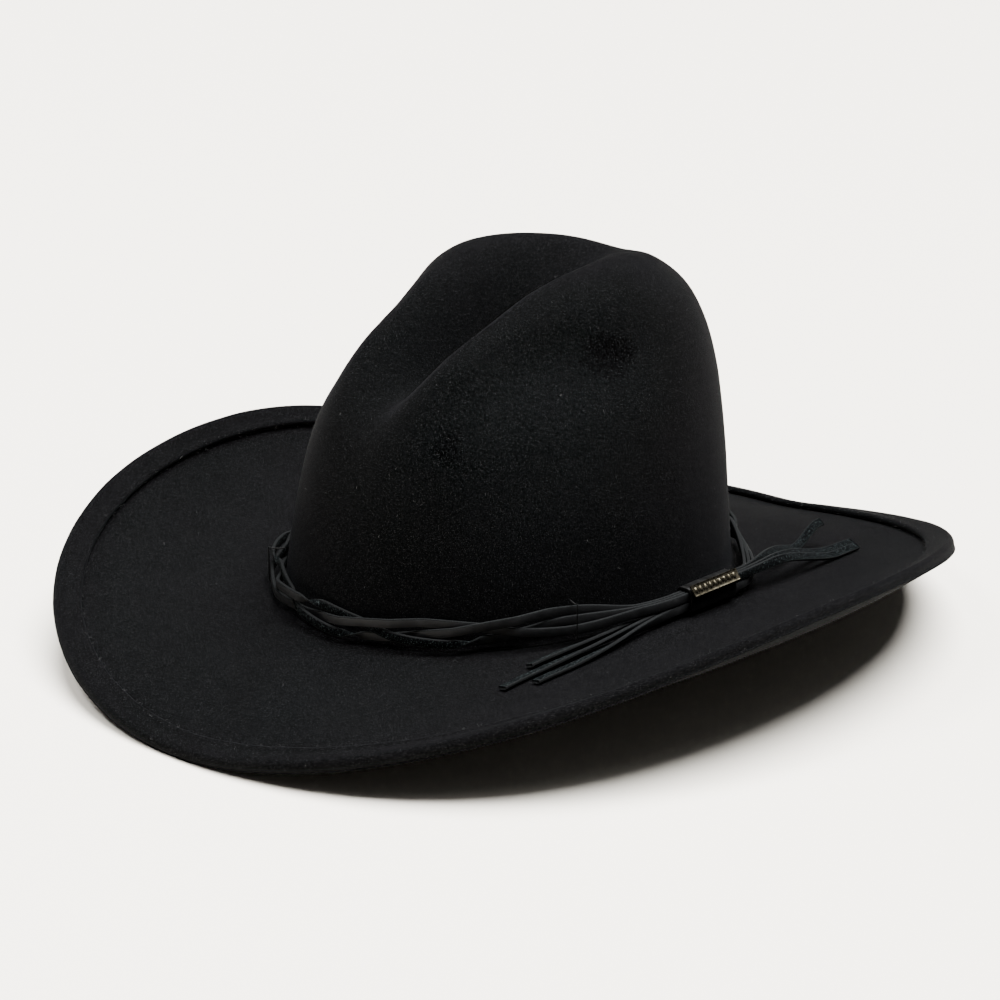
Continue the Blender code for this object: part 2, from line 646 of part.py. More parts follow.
def tail_points(lace, row, start_y, tip, sinks):
    """From the keeper to the tip, turning flat and sinking on to the brim, with the tilt at each point."""
    aside, run, full_tilt, tip_lift = tip
    start = keeper_slot(lace, row, start_y)
    way = 1 if start_y > KEEPER_Y else -1
    points, tilts = [], []
    for step in range(1, TAIL_STEPS + 1):
        share = step / TAIL_STEPS
        here_x = mix(start.x, KEEPER_X + aside, ease(share))
        here_y = mix(start.y, KEEPER_Y + way * run, share)
        tilt = full_tilt * ease(share / TAIL_TILTS_BY)
        turn = abs(math.radians(tilt))
        half_height = LACE_WIDTH / 2 * math.cos(turn) + LACE_THICKNESS / 2 * math.sin(turn)
        settled = brim_top(here_x, here_y) + half_height + TAIL_OVER_BRIM
        down = ease((share - sinks[0]) / (sinks[1] - sinks[0]))
        lifted = tip_lift * ease((share - TIP_LIFTS_FROM) / (1 - TIP_LIFTS_FROM))
        points.append(Vector((here_x, here_y, mix(start.z, settled, down) + lifted)))
        tilts.append(tilt)
    return points, tilts


def lace_route(lace):
    """Tail, through the keeper, round the back, the far side and the front, and through the keeper again."""
    front_y, back_y = KEEPER_Y - STRAIGHT_HALF, KEEPER_Y + STRAIGHT_HALF
    left, left_tilts = tail_points(lace, -1, front_y, LEFT_TAIL_TIPS[lace], LEFT_TAIL_SINKS)
    right, right_tilts = tail_points(lace, 1, back_y, RIGHT_TAIL_TIPS[lace], RIGHT_TAIL_SINKS)
    outward = [keeper_slot(lace, -1, front_y), keeper_slot(lace, -1, back_y)]
    homeward = [keeper_slot(lace, 1, front_y), keeper_slot(lace, 1, back_y)]
    leaving = join_braid(lace, -1, back_y, BRAID_START, JOIN_STEPS)
    count = round((BRAID_END - BRAID_START) / BRAID_STEP)
    plait = [braid_point(lace, mix(BRAID_START, BRAID_END, i / count)) for i in range(count + 1)]
    coming = join_braid(lace, 1, front_y, BRAID_END, JOIN_STEPS)
    held = outward + leaving + plait + coming[::-1] + homeward
    points = left[::-1] + held + right
    return points, left_tilts[::-1] + [0.0] * len(held) + right_tilts


def make_laces(leather, parent):
    """Each lace is a flat section swept along its route, turned by the tilt at each point."""
    section = bpy.data.curves.new("lace_section", "CURVE")
    section.dimensions = "2D"
    outline = section.splines.new("POLY")
    corners = [(-1, -1), (-1, 1), (1, 1), (1, -1)]
    outline.points.add(len(corners) - 1)
    for knot, (x, y) in zip(outline.points, corners):
        knot.co = (x * LACE_THICKNESS / 2, y * LACE_WIDTH / 2, 0, 1)
    outline.use_cyclic_u = True
    guide = bpy.data.objects.new("lace_section", section)
    guide.hide_render = True
    guide.display_type = "WIRE"
    GUIDES.objects.link(guide)
    for lace in range(3):
        points, tilts = lace_route(lace)
        curve = bpy.data.curves.new(f"lace_{lace + 1}", "CURVE")
        curve.dimensions = "3D"
        curve.twist_mode = "Z_UP"
        curve.bevel_mode = "OBJECT"
        curve.bevel_object = guide
        curve.use_fill_caps = True
        spline = curve.splines.new("POLY")
        spline.points.add(len(points) - 1)
        for knot, point, tilt in zip(spline.points, points, tilts):
            knot.co = (*point, 1)
            knot.tilt = math.radians(tilt)
        add_object(f"lace_{lace + 1}", curve, leather, parent)


def make_tacks(thread, parent):
    """Loops of thread that hold the plait to the crown."""
    high = BRAID_RISE + LACE_WIDTH / 2 + 2 * TACK_RADIUS + CLEARANCE
    out = BAND_OFF_WALL + BRAID_DEPTH + LACE_THICKNESS / 2 + 2 * TACK_RADIUS + CLEARANCE
    near = TACK_RADIUS + CLEARANCE
    shape = [(near, high), (out - TACK_CORNER, high), (out, high - TACK_CORNER)]
    shape += [(out, TACK_CORNER - high), (out - TACK_CORNER, -high), (TACK_FOOT, -high)]
    for number, theta_degrees in enumerate(TACK_THETAS, 1):
        theta = math.radians(theta_degrees)
        foot, normal = base_oval(theta)
        points = [foot + normal * away + Vector((0, 0, band_height(theta) + up)) for away, up in shape]
        add_tube(f"band_tack_{number}", points, TACK_RADIUS, thread, parent)


# --- keeper -------------------------------------------------------------------------------------
def rounded_outline(half_x, half_z, corner, turns=4):
    points = []
    for quarter, (side_x, side_z) in enumerate(((1, 1), (-1, 1), (-1, -1), (1, -1))):
        for step in range(turns + 1):
            turn = math.pi / 2 * (quarter + step / turns)
            x = side_x * (half_x - corner) + corner * math.cos(turn)
            z = side_z * (half_z - corner) + corner * math.sin(turn)
            points.append((x, z))
    return points


def make_keeper(leather, metal, parent):
    """A leather sleeve and a metal bar on its upper outer side, both on the axis that they slide along."""
    axis = bpy.data.objects.new("keeper_axis", None)
    axis.location = (KEEPER_X, KEEPER_Y, KEEPER_Z)
    axis.parent = parent
    PARTS.objects.link(axis)
    half_x, half_z = KEEPER_ROOM_X / 2 + KEEPER_WALL, KEEPER_ROOM_Z / 2 + KEEPER_WALL
    outline = rounded_outline(half_x, half_z, KEEPER_CORNER)

    def sleeve_point(u, v):
        x, z = outline[round(u * len(outline)) % len(outline)]
        return Vector((x, (v - 0.5) * KEEPER_LENGTH, z))

    add_sheet(
        "keeper_sleeve", len(outline), 1, sleeve_point, KEEPER_WALL, leather, axis, closed=True, offset=1
    )
    work = bmesh.new()
    bmesh.ops.create_cube(work, size=1)
    bmesh.ops.scale(work, verts=work.verts, vec=(PLATE_THICKNESS, KEEPER_LENGTH, PLATE_WIDTH))
    plate = add_mesh("keeper_plate", work, metal, axis)
    edge = plate.modifiers.new("edges", "BEVEL")
    edge.width = PLATE_RIM
    edge.segments = 2
    lean = math.radians(PLATE_TILT)
    corner_x, corner_z = half_x - KEEPER_CORNER, half_z - KEEPER_CORNER
    stand = KEEPER_CORNER + CLEARANCE + PLATE_THICKNESS / 2
    plate.location = (corner_x + stand * math.cos(lean), 0, corner_z + stand * math.sin(lean))
    plate.rotation_euler = (0, -lean, 0)


# --- the hat ------------------------------------------------------------------------------------
for old in list(bpy.data.objects):
    bpy.data.objects.remove(old, do_unlink=True)
PARTS = bpy.data.collections.new("western_hat")
GUIDES = bpy.data.collections.new("guides")
bpy.context.scene.collection.children.link(PARTS)
bpy.context.scene.collection.children.link(GUIDES)

hat = bpy.data.objects.new("hat_origin", None)
PARTS.objects.link(hat)

black_felt = finish("black_felt", (0.009, 0.009, 0.010), 0.95)
black_leather = finish("black_leather", (0.016, 0.016, 0.018), 0.5)
sweat_leather = finish("sweat_leather", (0.014, 0.013, 0.012), 0.55)
tape_cloth = finish("tape_cloth", (0.02, 0.02, 0.02), 0.9)
reed_plastic = finish("reed_plastic", (0.8, 0.78, 0.7), 0.4)
black_thread = finish("black_thread", (0.012, 0.012, 0.013), 0.8)
satin = finish("satin", (0.02, 0.02, 0.024), 0.35)
clear_vinyl = finish("clear_vinyl", (0.9, 0.9, 0.9), 0.1, alpha=0.25)
label_cloth = finish("label_cloth", (0.55, 0.52, 0.46), 0.9)
ribbon_satin = finish("ribbon_satin", (0.015, 0.015, 0.017), 0.45)
aged_nickel = finish("aged_nickel", (0.45, 0.42, 0.34), 0.35, metallic=1.0)

felt_body = make_felt(black_felt, hat)
make_sweatband(sweat_leather, tape_cloth, reed_plastic, black_thread, hat)
make_lining(satin, satin, clear_vinyl, hat)
make_label(label_cloth, hat)
make_bow(ribbon_satin, hat)
make_laces(black_leather, hat)
make_tacks(black_thread, hat)
make_keeper(black_leather, aged_nickel, hat)

# The origin goes under the middle of the felt, on the surface that the brim's front and back stand on.
bpy.context.view_layer.update()
evaluated = felt_body.evaluated_get(bpy.context.evaluated_depsgraph_get())
corners = [Vector(corner) for corner in evaluated.bound_box]
low = Vector([min(corner[i] for corner in corners) for i in range(3)])
high = Vector([max(corner[i] for corner in corners) for i in range(3)])
hat.location = (-(low.x + high.x) / 2, -(low.y + high.y) / 2, -low.z)
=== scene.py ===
# %% [markdown]
# # A black felt western hat, in Blender
# The design is already fixed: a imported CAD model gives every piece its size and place. This lesson
# gives each piece the look of its real material. It goes from the outside in: camera and studio, felt,
# leather laces, keeper, and then the sweatband and lining that only show from below.

import math
import random

import bpy
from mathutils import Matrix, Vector


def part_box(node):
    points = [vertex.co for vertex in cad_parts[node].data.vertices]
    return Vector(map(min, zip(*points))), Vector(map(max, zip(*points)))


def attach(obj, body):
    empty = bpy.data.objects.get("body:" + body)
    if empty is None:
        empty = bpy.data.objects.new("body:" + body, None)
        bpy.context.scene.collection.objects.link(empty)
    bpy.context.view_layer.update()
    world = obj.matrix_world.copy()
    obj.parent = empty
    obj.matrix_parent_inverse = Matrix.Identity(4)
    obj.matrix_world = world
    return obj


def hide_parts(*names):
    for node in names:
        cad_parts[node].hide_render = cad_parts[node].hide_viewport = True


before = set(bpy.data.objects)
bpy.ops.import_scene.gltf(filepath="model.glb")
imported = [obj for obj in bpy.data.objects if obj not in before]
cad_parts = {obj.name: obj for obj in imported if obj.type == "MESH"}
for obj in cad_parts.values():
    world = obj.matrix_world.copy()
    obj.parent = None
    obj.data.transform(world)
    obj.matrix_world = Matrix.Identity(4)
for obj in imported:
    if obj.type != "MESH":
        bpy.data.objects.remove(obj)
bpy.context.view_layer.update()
MM = 0.001

# %% [markdown]
# ## Small tools for working by hand
# An operator acts on whatever is selected, and loading the frame leaves its nodes selected. So every
# step starts by selecting just its own piece. Modifiers are applied as soon as they have done their
# work, because a finished piece is a plain mesh at the origin.


# %% Selecting, and applying modifiers
def only(*pieces):
    for other in list(bpy.context.selected_objects):
        other.select_set(False)
    for piece in pieces:
        piece.select_set(True)
    bpy.context.view_layer.objects.active = pieces[0]


def apply_modifier(piece, kind, **settings):
    only(piece)
    modifier = piece.modifiers.new(kind.lower(), kind)
    for name, value in settings.items():
        setattr(modifier, name, value)
    bpy.ops.object.modifier_apply(modifier=modifier.name)


def in_edit_mode(piece, *steps):
    """Runs each step, a function, with all of the piece selected in edit mode."""
    only(piece)
    bpy.ops.object.mode_set(mode="EDIT")
    for step in steps:
        bpy.ops.mesh.select_all(action="SELECT")
        step()
    bpy.ops.object.mode_set(mode="OBJECT")


def merged_copy(node, name):
    """A CAD node's mesh is loose triangles, so a copy is merged into one skin and given quads again."""
    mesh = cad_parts[node].data.copy()
    mesh.materials.clear()
    copy = bpy.data.objects.new(name, mesh)
    bpy.context.scene.collection.objects.link(copy)
    only(copy)
    bpy.ops.mesh.customdata_custom_splitnormals_clear()
    in_edit_mode(
        copy,
        lambda: bpy.ops.mesh.remove_doubles(threshold=0.02 * MM),
        lambda: bpy.ops.mesh.tris_convert_to_quads(face_threshold=math.pi, shape_threshold=math.pi),
    )
    return copy


def finish_piece(piece, material, slot, body, *nodes):
    """Gives a piece its finish and its body, and hides the CAD nodes that it stands for."""
    if material:
        piece.data.materials.clear()
        piece.data.materials.append(material)
    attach(piece, body)
    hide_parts(*nodes)
    print(f"{piece.name}: {len(piece.data.polygons)} faces")


# %% [markdown]
# ## Camera
# A hat is looked at from a little above and from its front left quarter, where the keeper is. A long
# lens from a metre and a half away keeps the brim's ellipse calm, without the stretched near edge that
# a short lens would give.

# %% The camera
CAMERA_TURN = math.radians(42.445)
CAMERA_RISE = math.radians(18.911)
CAMERA_DISTANCE = 1.448
CAMERA_AIM = Vector((-3.35, -2.79, 55.51)) * MM
CAMERA_LENS = 123.6  # millimetres, on a sensor 36 mm wide
camera_back = Vector((
    math.sin(CAMERA_TURN) * math.cos(CAMERA_RISE),
    -math.cos(CAMERA_TURN) * math.cos(CAMERA_RISE),
    math.sin(CAMERA_RISE),
))
camera_data = bpy.data.cameras.new("camera")
camera_data.lens = CAMERA_LENS
camera_data.sensor_width = 36
camera = bpy.data.objects.new("camera", camera_data)
camera.location = CAMERA_AIM + camera_back * CAMERA_DISTANCE
camera.rotation_euler = (math.pi / 2 - CAMERA_RISE, 0, CAMERA_TURN)
bpy.context.scene.collection.objects.link(camera)
bpy.context.scene.camera = camera
print("camera stands at", [round(value, 3) for value in camera.location])

# %% [markdown]
# ## Studio
# Black felt swallows light, so its form is drawn by what little it returns. The main light is like a
# light tent: a wide soft sun almost overhead, which also lights the floor evenly and leaves a deep
# shadow with soft edges under the brim. Two large lamps stand in front, one on each side, high enough
# that the brim keeps them off the floor below it, and lift the front and sides of the crown. The world
# itself stays dim, because light from the horizon would fill that shadow.


# %% Floor, world and lamps
def aim_at_hat(lamp, place):
    lamp.location = place
    lamp.rotation_euler = (CAMERA_AIM - Vector(place)).to_track_quat("-Z", "Y").to_euler()
    bpy.context.scene.collection.objects.link(lamp)


def add_lamp(name, place, size, power):
    data = bpy.data.lights.new(name, "AREA")
    data.shape = "DISK"
    data.size = size
    data.energy = power
    aim_at_hat(bpy.data.objects.new(name, data), place)


bpy.ops.mesh.primitive_plane_add(size=14)
floor = bpy.context.object
floor.name = "paper_floor"
paper = bpy.data.materials.new("warm_paper")
paper.use_nodes = True
paper_shader = paper.node_tree.nodes["Principled BSDF"]
paper_shader.inputs["Base Color"].default_value = (0.935, 0.885, 0.79, 1)
paper_shader.inputs["Roughness"].default_value = 0.9
paper_shader.inputs["Specular IOR Level"].default_value = 0.1
floor.data.materials.append(paper)

world = bpy.data.worlds.new("studio")
bpy.context.scene.world = world
world.use_nodes = True
world.node_tree.nodes["Background"].inputs["Color"].default_value = (1.0, 0.985, 0.96, 1)
world.node_tree.nodes["Background"].inputs["Strength"].default_value = 0.07
tent = bpy.data.lights.new("tent_overhead", "SUN")
tent.energy = 18.0
tent.angle = math.radians(46)
aim_at_hat(bpy.data.objects.new("tent_overhead", tent), (0.10, 0.17, 1.0))
add_lamp("front_left", (-0.65, -1.0, 2.0), 0.8, 44)
add_lamp("front_right", (1.1, -0.45, 2.0), 0.8, 3)

# %% [markdown]
# ## Materials made of nodes
# Every finish reads the mesh's own coordinates in metres, so a scale of 1000 makes a pattern about one
# millimetre wide. A few short helpers keep each finish to the few lines that matter.


# %% Helpers for finishes
class Finish:
    """A material whose nodes are added one at a time, each by its Blender name."""

    def __init__(self, name, colour=(0.5, 0.5, 0.5), roughness=0.5, **values):
        self.material = bpy.data.materials.new(name)
        self.material.use_nodes = True
        self.tree = self.material.node_tree
        self.shader = self.tree.nodes["Principled BSDF"]
        self.shader.inputs["Base Color"].default_value = (*colour, 1)
        self.shader.inputs["Roughness"].default_value = roughness
        for socket, value in values.items():
            self.shader.inputs[socket.replace("_", " ")].default_value = value
        self.place = self.tree.nodes.new("ShaderNodeTexCoord").outputs["Object"]

    def join(self, source, target):
        self.tree.links.new(source, target)

    def noise(self, scale, detail=2.0, roughness=0.5, distortion=0.0):
        node = self.tree.nodes.new("ShaderNodeTexNoise")
        node.inputs["Scale"].default_value = scale
        node.inputs["Detail"].default_value = detail
        node.inputs["Roughness"].default_value = roughness
        node.inputs["Distortion"].default_value = distortion
        self.join(self.place, node.inputs["Vector"])
        return node.outputs["Fac"]

    def cells(self, scale):
        """A net of fine lines between cells, as the creases of leather are."""
        node = self.tree.nodes.new("ShaderNodeTexVoronoi")
        node.feature = "DISTANCE_TO_EDGE"
        node.inputs["Scale"].default_value = scale
        self.join(self.place, node.inputs["Vector"])
        return node.outputs["Distance"]

    def ramp(self, value, *stops):
        """Maps a value through stops of (place, colour), where a colour may be one number for grey."""
        node = self.tree.nodes.new("ShaderNodeValToRGB")
        elements = node.color_ramp.elements
        while len(elements) < len(stops):
            elements.new(1.0)
        for element, (spot, colour) in zip(elements, stops):
            element.position = spot
            element.color = (*colour, 1) if isinstance(colour, tuple) else (colour, colour, colour, 1)
        self.join(value, node.inputs["Fac"])
        return node.outputs["Color"]

    def math(self, kind, a, b):
        node = self.tree.nodes.new("ShaderNodeMath")
        node.operation = kind
        for socket, value in zip(node.inputs, (a, b)):
            if isinstance(value, (int, float)):
                socket.default_value = value
            else:
                self.join(value, socket)
        return node.outputs["Value"]

    def mix(self, share, a, b):
        node = self.tree.nodes.new("ShaderNodeMix")
        node.data_type = "RGBA"
        self.join(share, node.inputs["Factor"])
        for socket, value in ((node.inputs["A"], a), (node.inputs["B"], b)):
            if isinstance(value, tuple):
                socket.default_value = (*value, 1)
            else:
                self.join(value, socket)
        return node.outputs["Result"]

    def colour(self, value):
        self.join(value, self.shader.inputs["Base Color"])

    def roughness(self, value):
        self.join(value, self.shader.inputs["Roughness"])

    def bump(self, height, depth, strength):
        node = self.tree.nodes.new("ShaderNodeBump")
        node.inputs["Distance"].default_value = depth
        node.inputs["Strength"].default_value = strength
        self.join(height, node.inputs["Height"])
        earlier = self.shader.inputs["Normal"].links
        if earlier:
            self.join(earlier[0].from_socket, node.inputs["Normal"])
        self.join(node.outputs["Normal"], self.shader.inputs["Normal"])


# %% [markdown]
# ## Wool felt
# Felt is a mat of fine wool fibres, dyed through and pressed. Close up it is not black but a tangle
# of dark greys with pale fibre ends, and at a grazing angle its nap catches light, which is what the
# shader's sheen is for. Three noises make it: a tangle of about half a millimetre, sparse bright
# specks, and a slow mottling where hands and the block have pressed it.

# %% The felt finish
felt_finish = Finish(
    "wool_felt", roughness=0.95, Specular_IOR_Level=0.02, Sheen_Weight=0.006, Sheen_Roughness=0.5
)
felt_finish.shader.inputs["Sheen Tint"].default_value = (0.85, 0.9, 1.0, 1)
tangle = felt_finish.noise(1500, detail=3, roughness=0.65, distortion=0.6)
mottle = felt_finish.noise(38, detail=2)
tone = felt_finish.ramp(tangle, (0.40, (0.0001, 0.0001, 0.0001)), (0.66, (0.0026, 0.0027, 0.0030)))
pressed = felt_finish.ramp(mottle, (0.3, 0.8), (0.7, 1.15))
shade = felt_finish.tree.nodes.new("ShaderNodeMix")
shade.data_type = "RGBA"
shade.blend_type = "MULTIPLY"
shade.inputs["Factor"].default_value = 1.0
felt_finish.join(tone, shade.inputs["A"])
felt_finish.join(pressed, shade.inputs["B"])
specks = felt_finish.ramp(felt_finish.noise(2600, detail=2, roughness=0.8), (0.60, 0.0), (0.70, 1.0))
felt_finish.colour(felt_finish.mix(specks, shade.outputs["Result"], (0.027, 0.027, 0.028)))
felt_finish.bump(tangle, 0.22 * MM, 0.8)
felt_finish.bump(mottle, 0.35 * MM, 0.5)

# %% [markdown]
# ## The felt body
# Crown and brim are one piece, pressed over a block, with the brim's edge folded up and pressed flat.
# The CAD mesh already has that form, but in facets about a centimetre wide. A Subdivision
# Surface rounds them, and on its own it would also draw every shoulder inwards. So the cage is first
# moved outwards, until the smooth surface runs through the CAD's own points. Two procedural clouds
# then take away the machine-made evenness, and the felt settles flat where it touches the table.


# %% Round a cage without shrinking it
def round_through_points(piece, levels, rounds=4):
    wanted = [vertex.co.copy() for vertex in piece.data.vertices]
    trial = piece.modifiers.new("trial", "SUBSURF")
    trial.levels = 1
    for _ in range(rounds):
        bpy.context.view_layer.update()
        smooth = piece.evaluated_get(bpy.context.evaluated_depsgraph_get()).to_mesh()
        for vertex, place in zip(piece.data.vertices, wanted):
            vertex.co += place - smooth.vertices[vertex.index].co
        piece.data.update()
    piece.modifiers.remove(trial)
    apply_modifier(piece, "SUBSURF", levels=levels, render_levels=levels)
    only(piece)
    bpy.ops.object.shade_smooth()


def mark_sharp_rims(piece, name, sharpness):
    """The cut edges of a thick sheet are the only places where it turns so sharply."""
    piece.vertex_groups.new(name=name)
    only(piece)
    bpy.ops.object.mode_set(mode="EDIT")
    bpy.ops.mesh.select_mode(type="EDGE")
    bpy.ops.mesh.select_all(action="DESELECT")
    bpy.ops.mesh.edges_select_sharp(sharpness=sharpness)
    bpy.ops.object.vertex_group_assign()
    bpy.ops.mesh.select_mode(type="VERT")
    bpy.ops.object.mode_set(mode="OBJECT")


def roughen(piece, name, size, depth, group=""):
    """A Displace modifier with a procedural cloud, over all of the piece or over one vertex group."""
    cloud = bpy.data.textures.new(name, "CLOUDS")
    cloud.noise_scale = size
    apply_modifier(
        piece, "DISPLACE", texture=cloud, texture_coords="LOCAL", strength=depth, vertex_group=group
    )


RIM_ANGLE = math.radians(70)
UNEVENNESS = 0.7 * MM
ABOVE_TABLE = 0.05 * MM
felt = merged_copy("felt_body", "felt")
mark_sharp_rims(felt, "raw_edge", RIM_ANGLE)
round_through_points(felt, levels=2)
roughen(felt, "uneven_cut", 2.2 * MM, UNEVENNESS, "raw_edge")
roughen(felt, "soft_hand", 45 * MM, UNEVENNESS)
for vertex in felt.data.vertices:
    vertex.co.z = max(vertex.co.z, ABOVE_TABLE)
finish_piece(felt, felt_finish.material, "felt", "hat", "felt_body")

# %% [markdown]
# ## Loose wool fibres
# Pressed felt still sheds hairs, most of all along the raw edge of the fold. Each is a thin curve of
# four points that starts close to the felt and leaves it at a slant. The places are drawn from a seeded
# random source, so that every run gives the same hairs.

# %% Seeded hairs
HAIRS_ON_EDGE = 900
HAIRS_ON_FELT = 900
HAIR_RADIUS = 0.035 * MM
HAIR_STEPS = (0.2 * MM, 0.55 * MM)  # shortest and longest step between its points
HAIR_ROOT_STRAYS = 0.4 * MM
HAIR_LEANS_OUT = 0.35
HAIR_WAVERS = 0.7
CLEAR_OF_TABLE = 8 * MM  # hairs on the edge start only above this height
hair_source = random.Random(7)
raw_edge = felt.vertex_groups["raw_edge"].index
edge_points = [
    vertex for vertex in felt.data.vertices
    if vertex.co.z > CLEAR_OF_TABLE
    and any(item.group == raw_edge and item.weight > 0.6 for item in vertex.groups)
]


def random_heading(size):
    return Vector([hair_source.uniform(-size, size) for _ in range(3)])


hairs = bpy.data.curves.new("wool_fibres", "CURVE")
hairs.dimensions = "3D"
hairs.bevel_depth = HAIR_RADIUS
hairs.bevel_resolution = 0
for number in range(HAIRS_ON_EDGE + HAIRS_ON_FELT):
    root = hair_source.choice(edge_points if number < HAIRS_ON_EDGE else felt.data.vertices)
    stray = random_heading(1)
    heading = (root.normal * HAIR_LEANS_OUT + stray).normalized()
    strand = hairs.splines.new("POLY")
    strand.points.add(3)
    spot = root.co + stray * HAIR_ROOT_STRAYS
    for knot in strand.points:
        knot.co = (*spot, 1)
        spot = spot + heading * hair_source.uniform(*HAIR_STEPS)
        heading = (heading + random_heading(HAIR_WAVERS)).normalized()
fibres = bpy.data.objects.new("wool_fibres", hairs)
bpy.context.scene.collection.objects.link(fibres)
only(fibres)
bpy.ops.object.convert(target="MESH")
fibres = bpy.context.object
fibre_finish = Finish("loose_fibre", roughness=0.7, Specular_IOR_Level=0.3)
fibre_finish.colour(fibre_finish.ramp(fibre_finish.noise(120), (0.40, 0.012), (0.62, 0.06), (0.72, 0.22)))
finish_piece(fibres, fibre_finish.material, "felt", "hat")

# %% [markdown]
# ## Leather laces
# Three flat laces are plaited round the crown. Each is cut from a hide that is smooth on one side and
# suede on the other, so each gets three finishes: grain, suede and the paler cut edge. The routes
# follow the same formulas as the CAD laces, with finer steps. In a real plait a flat lace turns over
# here and there at the edge of the plait, and once more inside the keeper, and then its suede side
# shows.

# %% Sizes of the plait, in millimetres
HAT_SHIFT = Vector((0, 0.27, 25.09))
HALF_LENGTH, HALF_WIDTH = 103.5, 86.5
SIDE_LIFT, FRONT_LIFT = 2.1, 1.0
LACE_WIDTH, LACE_THICKNESS, LACE_GAP = 3.8, 1.4, 0.35
# the plait starts and ends at these degrees round the crown from its front, and makes three turns
PLAIT_START, PLAIT_END, PLAIT_TURNS = 145.0, 420.0, 3
CLEARANCE = 0.3
PASSING_ROOM = 0.45  # where one lace passes over another
CROWN_GAP, BRIM_GAP = 0.65, 1.8
PLAIT_DWELL = 1.8  # over 1 keeps a lace on top, or beneath, for longer
LIFT_AT_KEEPER, LIFT_SPAN = 2.4, 80  # millimetres, and degrees over which it fades to each side
PLAIT_RISE = LACE_WIDTH + CLEARANCE
PLAIT_DEPTH = LACE_THICKNESS + PASSING_ROOM
OFF_WALL = CROWN_GAP + PLAIT_DEPTH + LACE_THICKNESS / 2
PLAIT_HEIGHT = BRIM_GAP + PLAIT_RISE + LACE_WIDTH / 2
KEEPER_TRAVEL, STRAIGHT_SPARE = 4.0, 1.0
sleeve_low, sleeve_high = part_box("keeper_sleeve")
KEEPER = (Vector(sleeve_low) + Vector(sleeve_high)) / 2 / MM - HAT_SHIFT
STRAIGHT_HALF = (sleeve_high[1] - sleeve_low[1]) / 2 / MM + KEEPER_TRAVEL + STRAIGHT_SPARE
# for each lace: how far its tip lies aside, how far it runs, its tilt in degrees and its tip's lift
LEFT_TAILS = ((-5.0, 119, 80, 0.0), (-10.5, 97, 70, 0.0), (2.5, 107, 82, 0.0))
RIGHT_TAILS = ((-9.0, 111, -62, 0.0), (-23.0, 107, -55, 8.0), (-2.0, 106, -62, 0.0))
print("keeper at", [round(value, 2) for value in KEEPER], "straight half", round(STRAIGHT_HALF, 2))


# %% [markdown]
# ## The plait's route
# A plait of three is three equal waves, each a third of a turn behind the last. In each wave a lace
# swings up and down once, and in and out twice, so it passes over one neighbour and under the other.
# Near the keeper it leaves the wave on a Bezier curve that meets the straight stretch.

# %% Points of the plait and of its joins to the keeper
def ease(t):
    t = min(max(t, 0.0), 1.0)
    return t * t * (3 - 2 * t)


def mix(a, b, t):
    return a + (b - a) * t


def crown_foot(theta):
    lift = FRONT_LIFT * math.cos(theta) - SIDE_LIFT * math.cos(2 * theta)
    normal = Vector((math.sin(theta) / HALF_WIDTH, -math.cos(theta) / HALF_LENGTH, 0)).normalized()
    return Vector((HALF_WIDTH * math.sin(theta), -HALF_LENGTH * math.cos(theta), lift)), normal


def plait_phase(lace, degrees):
    return 2 * math.pi * (lace / 3 + PLAIT_TURNS * (degrees - PLAIT_START) / (PLAIT_END - PLAIT_START))


def plait_point(lace, degrees):
    """The middle of a lace, swinging up and down, and over or under where two cross."""
    theta = math.radians(degrees)
    phase = plait_phase(lace, degrees)
    foot, normal = crown_foot(theta)
    over = min(max(PLAIT_DWELL * math.sin(2 * phase), -1), 1)
    away = math.degrees(math.acos(math.cos(theta - math.pi / 2)))
    up = PLAIT_HEIGHT + LIFT_AT_KEEPER * (1 - ease(away / LIFT_SPAN)) + PLAIT_RISE * math.sin(phase)
    return foot + normal * (OFF_WALL + PLAIT_DEPTH * over) + Vector((0, 0, up))


def slot_in_keeper(lace, row, y):
    side = (0, -1, 1)[lace] * (LACE_THICKNESS + LACE_GAP)
    return Vector((KEEPER.x + side, y, KEEPER.z + row * (LACE_WIDTH + LACE_GAP) / 2))


JOIN_STEPS = 26
NEAR_HANDLE, FAR_HANDLE = 0.20, 0.50  # of the curve, as shares of its chord
SPREADS_FROM = 0.45  # share of the way at which the laces begin to spread up and down


def join_to_keeper(lace, row, end_y, degrees):
    """A curve from the keeper in towards the crown, where the laces spread up and down."""
    way = 1 if end_y > KEEPER.y else -1
    foot, normal = crown_foot(math.radians(degrees))
    start, end = Vector((KEEPER.x, end_y, 0)), foot + normal * OFF_WALL
    end.z = 0
    chord = (end - start).length
    near = start + Vector((0, way, 0)) * chord * NEAR_HANDLE
    far = end - Vector((-normal.y, normal.x, 0)) * way * chord * FAR_HANDLE
    plait = plait_point(lace, degrees)
    depth = (plait - foot).dot(normal) - OFF_WALL
    slot = slot_in_keeper(lace, row, end_y)
    points = []
    for step in range(1, JOIN_STEPS):
        t = step / JOIN_STEPS
        middle = start * (1 - t) ** 3 + near * 3 * t * (1 - t) ** 2 + far * 3 * t * t * (1 - t) + end * t**3
        heading = (near - start) * (1 - t) ** 2 + (far - near) * 2 * t * (1 - t) + (end - far) * t * t
        outward = Vector((heading.y, -heading.x, 0)).normalized() * way
        point = middle + outward * mix(slot.x - KEEPER.x, depth, t)
        point.z = mix(slot.z, plait.z, ease((t - SPREADS_FROM) / (1 - SPREADS_FROM)))
        points.append(point)
    return points


# %% [markdown]
# ## Tails
# The six tails leave the keeper side by side and settle on the brim. A ray sent down on to the finished
# felt gives the height that each point has to clear, so a tail rests on the felt wherever it runs. Only
# one tip, at the back, stands up from it.

